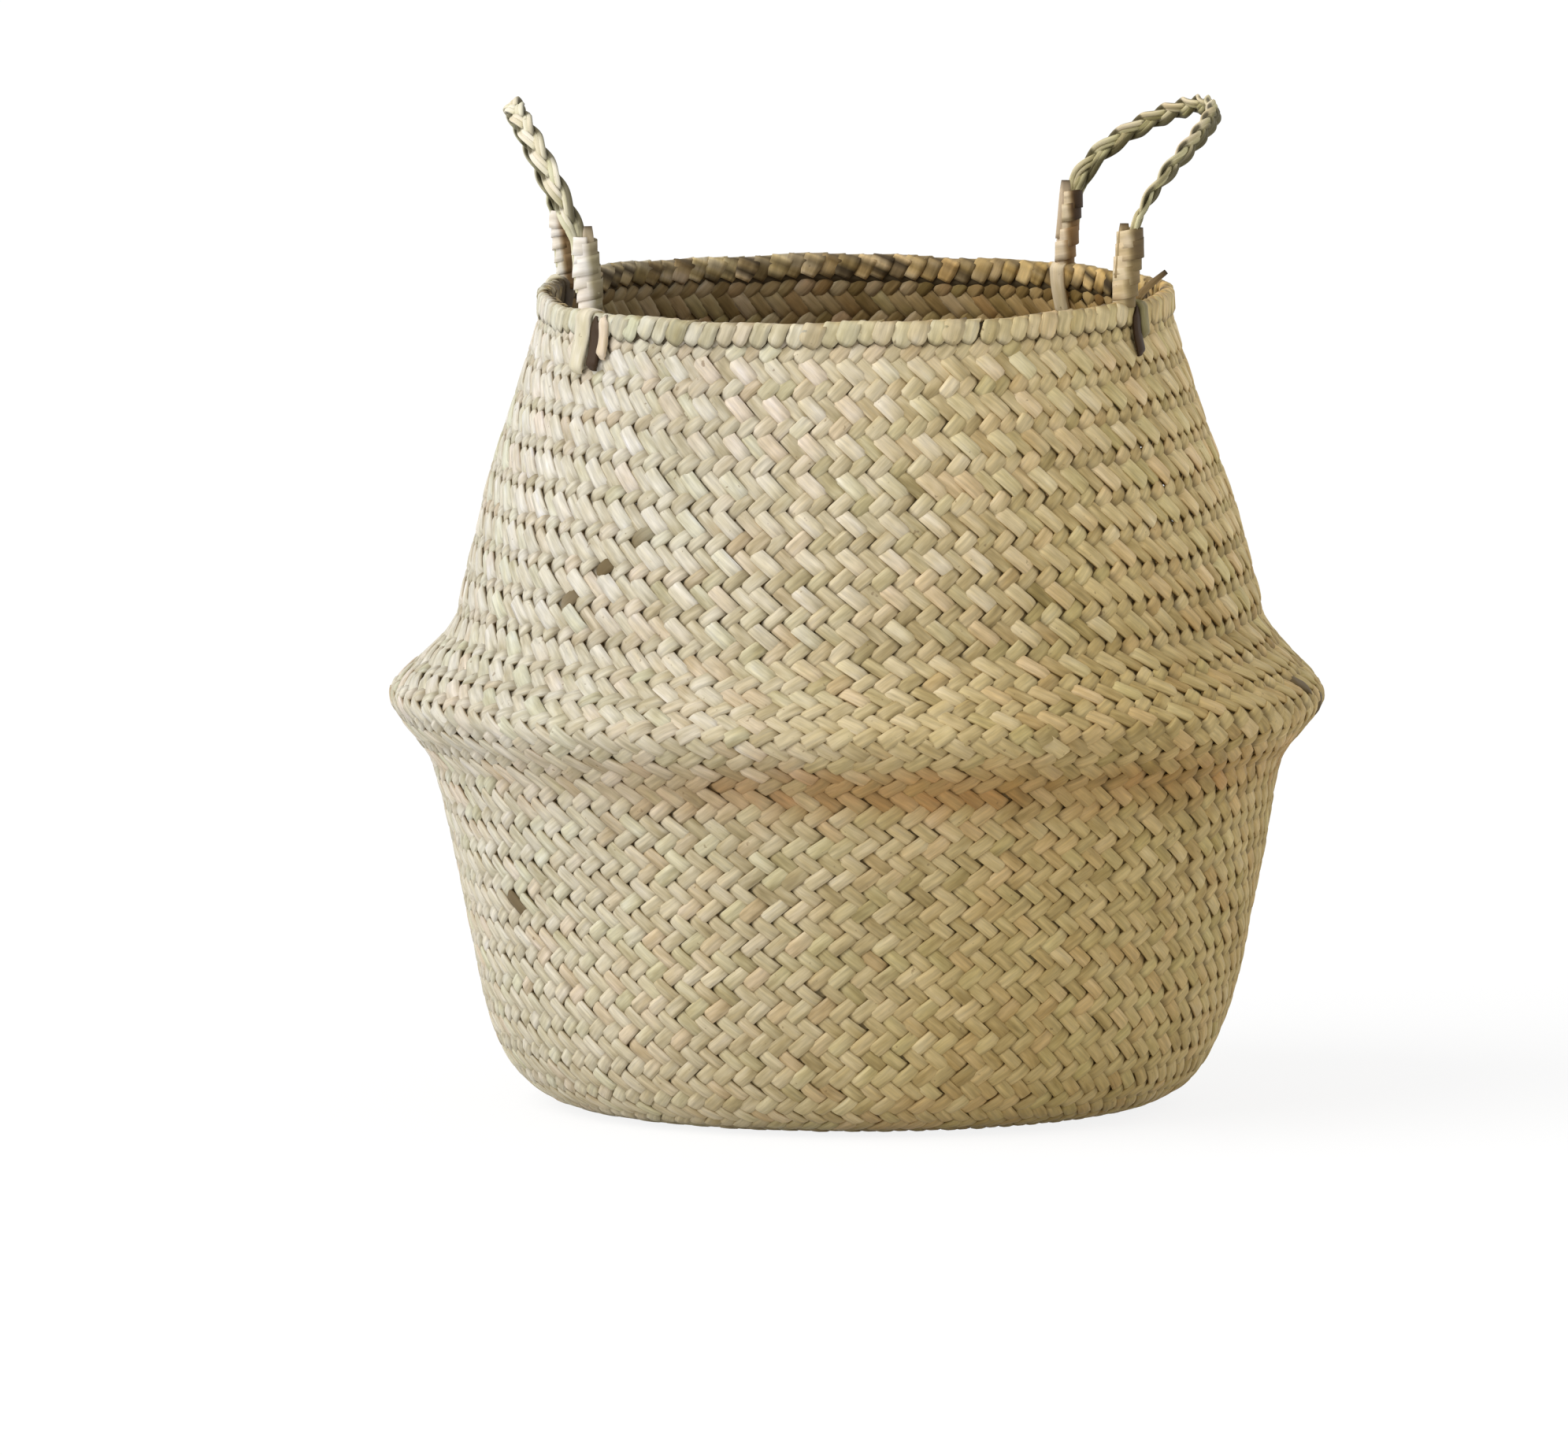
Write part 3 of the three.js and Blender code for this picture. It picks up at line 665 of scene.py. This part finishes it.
def make_strap(
    angle, chance, aside, bottom, half_width, proud, tone, reach=1.0, dark=0.0, inside=0.0, cast=0.0
):
    """A leaf carried over the rim: up the outside, half an oval over the top and down the inside, its ends
    tucked into the wall. It stands proud of the rim by so much, lies aside of the foot's angle by so much
    along the rim, and is so dark on the outside and on the inside. The darkness inside is painted shade,
    and so is the darkness outside on the leaves that stand for the shadow in a slit; its ends carry painted
    shade where they go into the wall. A reach below 1 ends it on its way."""
    share = np.linspace(0, reach, 49)[None]
    stations = (0, 0.05, 0.12, 0.40, 0.46, 0.5, 0.54, 0.60, 0.95, 1)
    oval = np.array((-0.6, 0.6, 1, 0.96, 0.62, 0, -0.62, -0.96, -0.9, -0.2))
    outside = np.interp(share, stations, oval * (rim_half_depth + proud))
    climb = (bottom, bottom + 0.001, bottom + 0.004, rim_top - 0.002, rim_top - 0.0002, rim_top + 0.0004)
    descent = (rim_top - 0.0002, rim_top - 0.002, bottom + 0.002, bottom)
    height = np.interp(share, stations, climb + descent)
    neck = side_height > shoulder_height
    wall = np.maximum(np.interp(height, side_height[neck], side_radius[neck]) - rim_middle, 0)
    turn = math.radians(angle) + aside / rim_middle
    turn = turn + 0.0008 / rim_middle * wander(chance, share.shape, share, 0.2)
    line = rim_place(turn, wall + outside, height)
    lift = np.clip((share - 0.40) / 0.20, 0, 1) * np.pi
    normal = np.stack([np.cos(turn) * np.cos(lift), np.sin(turn) * np.cos(lift), np.sin(lift)], -1)
    end = np.minimum(share, reach - share)
    taper = np.clip(end / 0.10, 0.25, 1)
    wide = half_width * taper * (1 + 0.07 * wander(chance, share.shape, share, 0.12))
    tone = tone + 0.2 * wander(chance, share.shape, share, 0.2)
    gap = np.interp(share, (0.5, 0.56), (dark, inside))
    marks = {
        "tone": np.clip(tone, 0, 1),
        "cast": cast + 0.15 * wander(chance, share.shape, share, 0.3),
        # Painted shade at the ends, where they go into the wall.
        "gap": np.maximum(gap, 0.8 * np.clip(1 - end / 0.05, 0, 1)),
    }
    return stem_skin(line, normal, wide, strap_half_thick * taper), run_length(line), marks


strap_chance = np.random.default_rng(31)
for side, ends in feet.items():
    for foot, angle in ends.items():
        for name, strip in strips_at_feet[side, foot].items():
            points, length, marks = make_strap(angle, strap_chance, **strip)
            strap = closed_stems(f"{side}_{foot}_{name}", points, length, marks)
            strap.data.materials.append(pale_leaf)
            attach(strap, "basket")
            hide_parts(f"{side}_{foot}_foot_strap")


# A handle is a plait of three strands, each of two flat leaves laid side by side. Its legs
# stand on the rim and lean outwards, and it bends over at the top as it was last held.
handles = {
    "left": {
        "middle": 184.5, "spread": 25.5, "height": 0.0795, "reach": 0.019, "curl": 1.3,
        "tone": 0.50, "turned": (65, 15), "feet": ("far", "near"), "near_face": 1.0,
    },
    "right": {
        "middle": 8.25, "spread": 39.25, "height": 0.072, "reach": 0.045, "curl": 1.75,
        "tone": 0.30, "turned": (88, 38), "feet": ("near", "far"), "near_face": -1.0,
    },
}
hinge_height = 0.39071
handle_climb = 0.0025
leg_slope = 0.10
leg_height = 0.0231
leg_foot = -0.002
bundle_half_width = 0.0012
plait_offset = 0.0021
plait_period = 0.051
plait_start = 0.008
plait_half_width = 0.0027
plait_half_depth = 0.00135
leaf_half_width = 0.0014
leaf_half_thick = 0.0010
leaf_apart = 0.75
plait_steps = 900
plait_picked = 3
shaded_way = (0.8, 0, -0.6)
shaded_reach = 0.0045
plait_tones = [
    (0.0, (150, 142, 100)),
    (0.3, (190, 180, 140)),
    (0.6, (216, 206, 172)),
    (1.0, (236, 226, 202)),
]
# The side tints are painted light and painted shade; shadow is the painted shade's colour.
plait_leaf = dried_stem(
    "plaited_leaf", plait_tones, shadow=(74, 66, 36), veil=(1, 0), contrast=0.3, relief=0.10,
    lit_left_tint=(1.0, 1.02, 1.08, 1), shaded_right_tint=(0.97, 0.94, 0.86, 1),
)


def half_span(handle):
    """Half of the way from foot to foot: the rim's radius times the sine of the spread."""
    return rim_middle * math.sin(math.radians(handle["spread"]))


def plait_line(handle):
    """The plait's middle in the handle's own frame (outwards, from foot to foot, upwards): two straight
    sloping legs and between them half an oval, which leans out by a power of its own height."""
    span = half_span(handle)
    leg = np.linspace(leg_foot, leg_height, 60)
    turn = np.linspace(0, np.pi, 500)
    rise = np.maximum(np.sin(turn), 0)
    height = leg_height + (handle["height"] - leg_height) * rise
    outwards = plait_offset + leg_slope * height + handle["reach"] * rise ** handle["curl"]
    arch = np.stack([outwards, -span * np.cos(turn), height], -1)
    up = np.stack([plait_offset + leg_slope * leg, 0 * leg - span, leg], -1)
    down = up[::-1] * np.array([1, -1, 1])
    path = np.concatenate([up[:-1], arch, down[1:]])
    length = np.concatenate([[0], np.cumsum(np.linalg.norm(np.diff(path, axis=0), axis=1))])
    even = np.linspace(0, length[-1], plait_steps)
    return np.stack([np.interp(even, length, path[:, k]) for k in range(3)], -1), even


def handle_place(handle, local):
    """Turns the handle's own frame to where it stands: outwards at its middle's angle, from the hinge line
    between its feet, which lies a little higher towards the right."""
    middle = math.radians(handle["middle"])
    away = np.array([math.cos(middle), math.sin(middle), 0])
    aside = np.array([-math.sin(middle), math.cos(middle), 0])
    distance = rim_middle * math.cos(math.radians(handle["spread"]))
    x = distance * math.cos(middle)
    origin = away * distance + np.array([0, 0, hinge_height + handle_climb * x / mouth_radius])
    return origin + local[..., :1] * away + local[..., 1:2] * aside + local[..., 2:] * np.array([0, 0, 1.0])


def handle_way(handle, local):
    """A direction of the handle's own frame, turned as handle_place turns a point."""
    return handle_place(handle, local) - handle_place(handle, np.zeros(3))


def make_plait(handle, chance):
    """Strand k lies at phase = progress + k / 3 of a turn: sine of the phase across the plait, sine of
    twice the phase out of it. Each leaf keeps beside its strand's middle, across its own way. The whole
    plait is turned round its middle by an angle that goes from one foot's to the other's. It carries painted
    shade where it faces right and down and where a strand dives under the others, and painted light, paler
    and pinker, where it faces left and up."""
    path, even = plait_line(handle)
    length = even[-1]
    tangent = unit(np.gradient(path, axis=0))
    sideways = unit(np.array([1.0, 0, 0]) - tangent * tangent[:, :1])
    upward = np.cross(tangent, sideways)
    angle = np.interp(even, (leg_height, length - leg_height), handle["turned"])
    cosine, sine = np.cos(np.radians(angle))[:, None], np.sin(np.radians(angle))[:, None]
    sideways, upward = sideways * cosine + upward * sine, upward * cosine - sideways * sine
    weaving = length - 2 * (leg_height + plait_start)
    sixths = round(6 * weaving / plait_period)
    progress = np.clip((even - leg_height - plait_start) / weaving, 0, 1)
    spread = np.clip((np.minimum(even, length - even) - leg_height) / plait_start, 0, 1)
    spread = spread * spread * (3 - 2 * spread)
    shape = (2, len(even))

    def waver(knot):
        return wander(chance, shape, even[None] * np.ones(shape), knot)

    strands = []
    for strand in range(3):
        phase = np.pi / 6 + progress * sixths * np.pi / 3 + strand * 2 * np.pi / 3
        width = bundle_half_width + (plait_half_width - bundle_half_width) * spread
        depth = bundle_half_width + (plait_half_depth - bundle_half_width) * spread
        middle = path + sideways * (width * np.sin(phase))[:, None]
        middle = middle + upward * (depth * np.sin(2 * phase))[:, None]
        flat = unit(np.cross(upward, unit(np.gradient(middle, axis=0))))
        leaves = []
        for leaf in (-1, 1):
            apart = leaf_apart * leaf_half_width * leaf * (0.6 + 0.4 * spread)
            above = 0.0003 * leaf * np.sin(phase + 1)
            leaves.append(middle + flat * apart[:, None] + upward * above[:, None])
        line = handle_place(handle, np.stack(leaves))
        normal = handle_way(handle, np.stack([upward, upward]))
        swell = 1 + 0.08 * waver(0.02)
        tone = chance.normal(handle["tone"], 0.16, (2, 1)) + 0.2 * waver(0.03)
        cast = 0.25 + 0.35 * waver(0.04)
        skin = stem_skin(line, normal, leaf_half_width * swell, leaf_half_thick * swell)
        aside = (skin - handle_place(handle, path)[None, :, None]) @ np.array(shaded_way) / shaded_reach
        # Painted shade where a strand dives under the others.
        below = np.clip(-2.4 * np.sin(2 * phase)[:, None] * np.sin(corner_turns()), 0, 0.9)
        # Painted shade on the side that faces right and down.
        painted_side_shade = np.clip(1.9 * aside + 0.15 + 0.6 * waver(0.01)[..., None], 0, 0.88)
        # Painted light: paler here, and pinker in the cast below, on the side that faces left and up.
        tone = tone[..., None] + 0.6 * np.clip(-aside - 0.05, 0, 1)
        marks = {
            "tone": np.clip(tone, 0, 1),
            "cast": cast[..., None] - 0.35 * np.clip(-aside, 0, 1),
            "gap": spread[:, None] * np.maximum(below, painted_side_shade),
        }
        pick = slice(None, None, plait_picked)
        marks = {mark: value[:, pick] for mark, value in marks.items()}
        strands.append((skin[:, pick], run_length(line)[:, pick], marks))
    return strands


plait_chance = np.random.default_rng(47)
for side, handle in handles.items():
    for number, (points, length, marks) in enumerate(make_plait(handle, plait_chance), 1):
        strand = closed_stems(f"{side}_handle_strand_{number}", points, length, marks)
        strand.data.materials.append(plait_leaf)
        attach(strand, f"{side}_handle")
        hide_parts(f"{side}_plait_strand_{number}")


# A strip of pale leaf is wound round each leg, wet, from the strap up, and shrinks tight as
# it dries. A leaf's end, turned back beside the plait, stands out above it, cut off on a slant.
binding_bottom = -0.0125
binding_half_depth = 0.0050
binding_half_width = {"near": 0.0066, "far": 0.0053}
binding_bend = (-0.0075, 0.0035)
strip_pitch = 0.0059
strip_half_width = 0.0047
strip_half_thick = 0.00009
strip_tilt = 4.0
tail_half_width = 0.0031
tail_half_thick = 0.0007
tail_bottom = 0.0015
tail_inwards = -0.0030
tail_aside = 0.0022
binding_paint = {
    ("left", "near"): {"reach": 0.20, "stain_and_shade": 0.25, "darker_top": 0.0, "pale": 0.95, "lean": -0.0014},
    ("left", "far"): {"reach": 0.90, "stain_and_shade": 1.0, "darker_top": 0.0, "pale": 0.85, "lean": 0.0},
    ("right", "near"): {"reach": 0.40, "stain_and_shade": 0.35, "darker_top": 0.30, "pale": 0.55, "lean": 0.0},
    ("right", "far"): {"reach": 0.65, "stain_and_shade": 0.9, "darker_top": 0.6, "pale": 0.75, "lean": 0.0},
}
leaf_ends = {
    ("left", "near"): {"above": 0.0065, "tone": 0.35},
    ("left", "far"): {"above": 0.0065, "tone": 0.35},
    ("right", "near"): {"above": 0.0040, "tone": 0.20},
    ("right", "far"): {"above": 0.0060, "tone": 0.80},
}


def make_binding(place, half_width, right, chance, reach, stain_and_shade, darker_top, pale, lean):
    """A strip on a rising oval: cosine of the turn outwards, sine along the rim, and one pitch higher for
    every turn. The side that faces right carries painted shade, greener and partly a real brown: reach says
    how far that goes round, the next two numbers how brown it is and how much darker still high up, pale
    how light the other side is, and lean how far the whole winding stands from the leg's middle."""
    lowest, highest = binding_bottom + strip_half_width, leg_height - strip_half_width + 0.002
    turns = (highest - lowest) / strip_pitch + 0.5
    turn = np.linspace(-2 * np.pi, 2 * np.pi * turns, int(40 * turns + 40))[None]
    wound = turn / (2 * np.pi)

    def waver(knot):
        return wander(chance, turn.shape, wound + 2, knot)

    height = np.clip(lowest + strip_pitch * wound, lowest, highest)
    press = 0.0006 * waver(0.3) - 0.0004 * np.sin(np.pi * np.clip(height / leg_height, 0, 1))
    slimmer = np.interp(height, (-0.010, 0.002), (0.76, 1.0))
    half_width, half_depth = (half_width + press) * slimmer, (binding_half_depth + press) * slimmer
    outwards = half_width * np.cos(turn) + leg_slope * height + lean
    local = np.stack([outwards, place + half_depth * np.sin(turn), height], -1)
    normal = np.stack([np.cos(turn) / half_width, np.sin(turn) / half_depth, strip_tilt + 0 * turn], -1)
    normal = unit(normal)
    wide = strip_half_width * (1 + 0.05 * waver(0.3))
    # Painted shade on the side that faces right: lower in tone, greener, nearer the shadow colour and partly
    # a real brown.
    shaded = np.clip(1.8 * right * np.cos(turn) + reach, 0, 1)
    tone = pale - 0.62 * shaded + 0.14 * waver(0.4)
    upper = np.clip(height / leg_height * 4 - 1.6, 0, 1)
    marks = {
        "tone": np.clip(tone, 0, 1),
        "cast": 0.2 * waver(0.5) - 0.2 + 0.6 * shaded * (1 - stain_and_shade),
        "blush": 1.3 * stain_and_shade * shaded,
        "gap": shaded * (0.38 + darker_top * upper),
    }
    return local, normal, wide, marks


def make_tail(place, near_face, above, tone):
    """A leaf end beside the plait: straight up on the inner side of the leg, partly inside the binding,
    its top cut off on a slant."""
    share = np.linspace(0, 1, 12)[None]
    height = tail_bottom + (leg_height + above - tail_bottom) * share
    outwards = tail_inwards + leg_slope * height - 0.0008 * share ** 3
    local = np.stack([outwards, place + tail_aside * near_face + 0 * share, height], -1)
    cut_end = np.clip(share * 6 - 5.1, 0.3 - 0.3 * tone, 0.9)
    marks = {"tone": tone + 0 * share, "cast": -0.4 + 0 * share, "gap": cut_end}
    return local, tail_half_width - 0.0010 * share ** 6, marks


binding_chance = np.random.default_rng(59)
for side, handle in handles.items():
    right = math.cos(math.radians(handle["middle"]))
    near_face = handle["near_face"]
    for foot, place in zip(handle["feet"], (-half_span(handle), half_span(handle))):
        local, normal, wide, marks = make_binding(
            place, binding_half_width[foot], right, binding_chance, **binding_paint[side, foot]
        )
        line, out = handle_place(handle, local), handle_way(handle, normal)
        skin = stem_skin(line, out, wide, strip_half_thick + 0 * wide, crown=0.4)
        binding = closed_stems(f"{side}_{foot}_leaf_binding", skin, run_length(line), marks)
        low, high = (handle_place(handle, np.array([0.0, place, level])).tolist() for level in binding_bend)
        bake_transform(binding)
        local, wide, marks = make_tail(place, near_face, **leaf_ends[side, foot])
        line = handle_place(handle, local)
        out = handle_way(handle, np.broadcast_to([0, near_face, 0], local.shape))
        skin = stem_skin(line, out, wide, tail_half_thick + 0 * wide)
        tail = closed_stems(f"{side}_{foot}_leaf_end", skin, run_length(line), marks)
        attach(tail, f"{side}_handle")
        for piece, node, slot in ((binding, "binding", "binding"), (tail, "tail", "strap")):
            piece.data.materials.append(pale_leaf)
            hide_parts(f"{side}_{foot}_{node}")


# The uncut end of one stem of the border sticks out behind the right handle's near leg.
# It has dried brown, darkest at its tip.
stray_angle = -26
stray_height = 0.3826


def make_stray_end():
    """A thin stem on a gentle curve: along the rim, outwards in a straight line and up by a power of
    the way."""
    share = np.linspace(0, 1, 14)[None]
    turn = math.radians(stray_angle) + 0.05 * share
    line = rim_place(turn, 0.0005 + 0.0115 * share, stray_height + 0.0130 * share ** 0.8)
    up = np.broadcast_to([0.0, -0.6, 0.8], line.shape)
    skin = stem_skin(line, up, 0.0021 - 0.0009 * share, 0.0010 + 0 * share)
    marks = {"tone": 0.2 + 0 * share, "cast": -0.6 + 0 * share, "gap": 0.35 + 0.65 * share ** 3}
    return closed_stems("stray_stem_end", skin, run_length(line), marks)


stray_end = make_stray_end()
stray_end.data.materials.append(rim_stem)
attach(stray_end, "basket")
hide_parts("rim_border")


# The basket stands on a plain pale floor, seen from far away through a long lens and
# slightly above, in soft daylight from the left.
floor_reach = 60
floor_back = 160
floor_level = -0.0002
floor_shade = 0.80
floor_lift = 0.80
floor_white = 1.07
sky_strength = 0.50
daylight_colour = (1.0, 0.99, 0.97)


def rays_that_see(tree):
    """1 for rays from the camera, and for those that reach it by a mirror or through glass:
    the largest of the three."""
    paths = Dye(tree).node("LightPath", {}, {})
    node = paths.socket.node
    names = ("Is Camera Ray", "Is Glossy Ray", "Is Transmission Ray")
    straight, mirrored, through = (Dye(tree, node.outputs[name]) for name in names)
    return straight.maths("MAXIMUM", straight.maths("MAXIMUM", straight, mirrored), through)


def white_to_the_eye(name):
    """A plain pale matt floor, a share of it brought up to white for the camera alone."""
    material = bpy.data.materials.new(name)
    material.use_nodes = True
    tree = material.node_tree
    shader = tree.nodes["Principled BSDF"]
    shader.inputs["Base Color"].default_value = (floor_shade, floor_shade, floor_shade, 1)
    shader.inputs["Roughness"].default_value = 1.0
    shader.inputs["Specular IOR Level"].default_value = 0.0
    glow = tree.nodes.new("ShaderNodeEmission")
    glow.inputs["Strength"].default_value = floor_white
    choose = tree.nodes.new("ShaderNodeMixShader")
    tree.links.new((rays_that_see(tree) * floor_lift).socket, choose.inputs[0])
    tree.links.new(shader.outputs[0], choose.inputs[1])
    tree.links.new(glow.outputs[0], choose.inputs[2])
    tree.links.new(choose.outputs[0], tree.nodes["Material Output"].inputs["Surface"])
    return material


def make_floor():
    """One flat face, wide enough to have no end in the picture."""
    mesh = bpy.data.meshes.new("floor")
    corners = [
        (-floor_reach, -floor_reach, floor_level),
        (floor_reach, -floor_reach, floor_level),
        (floor_reach, floor_back, floor_level),
        (-floor_reach, floor_back, floor_level),
    ]
    mesh.from_pydata(corners, [], [(0, 1, 2, 3)])
    floor = bpy.data.objects.new("floor", mesh)
    bpy.context.collection.objects.link(floor)
    floor.data.materials.append(white_to_the_eye("pale_floor"))


def make_sky():
    """An even pale light from all sides, which the camera itself sees as white."""
    sky = bpy.data.worlds.new("studio")
    bpy.context.scene.world = sky
    sky.use_nodes = True
    tree = sky.node_tree
    light = tree.nodes["Background"]
    light.inputs["Color"].default_value = (0.98, 0.99, 1.0, 1)
    light.inputs["Strength"].default_value = sky_strength
    white = tree.nodes.new("ShaderNodeBackground")
    white.inputs["Color"].default_value = (1, 1, 1, 1)
    choose = tree.nodes.new("ShaderNodeMixShader")
    tree.links.new(rays_that_see(tree).socket, choose.inputs[0])
    tree.links.new(light.outputs[0], choose.inputs[1])
    tree.links.new(white.outputs[0], choose.inputs[2])
    tree.links.new(choose.outputs[0], tree.nodes["World Output"].inputs["Surface"])


def daylight(name, towards, strength, spread):
    """A wide, far lamp: every point gets the same light, from the direction towards it."""
    lamp = bpy.data.lights.new(name, "SUN")
    lamp.energy = strength
    lamp.angle = math.radians(spread)
    lamp.color = daylight_colour
    stand = bpy.data.objects.new(name, lamp)
    bpy.context.collection.objects.link(stand)
    x, y, z = towards
    stand.rotation_euler = (math.atan2(math.hypot(x, y), z), 0, math.atan2(y, x) + math.pi / 2)


make_floor()
make_sky()
daylight("window", (-0.84, -0.42, 0.72), strength=2.35, spread=60)
daylight("pale_wall", (0.92, 0.30, 0.25), strength=0.5, spread=90)

photo_width = 1991
pixels_per_metre = 2720
view_distance = 24.0
view_down = math.radians(6.3)
view_x, view_y, view_z = -0.034, 0.0, 0.1753
camera = bpy.data.cameras.new("camera")
camera.sensor_width = 36
camera.lens = camera.sensor_width * pixels_per_metre / photo_width * view_distance
camera.clip_end = 400
stand = bpy.data.objects.new("camera", camera)
bpy.context.collection.objects.link(stand)
back, above = view_distance * math.cos(view_down), view_distance * math.sin(view_down)
stand.location = (view_x, view_y - back, view_z + above)
stand.rotation_euler = (math.pi / 2 - view_down, 0, 0)
bpy.context.scene.camera = stand
bpy.context.scene.view_settings.view_transform = "Standard"
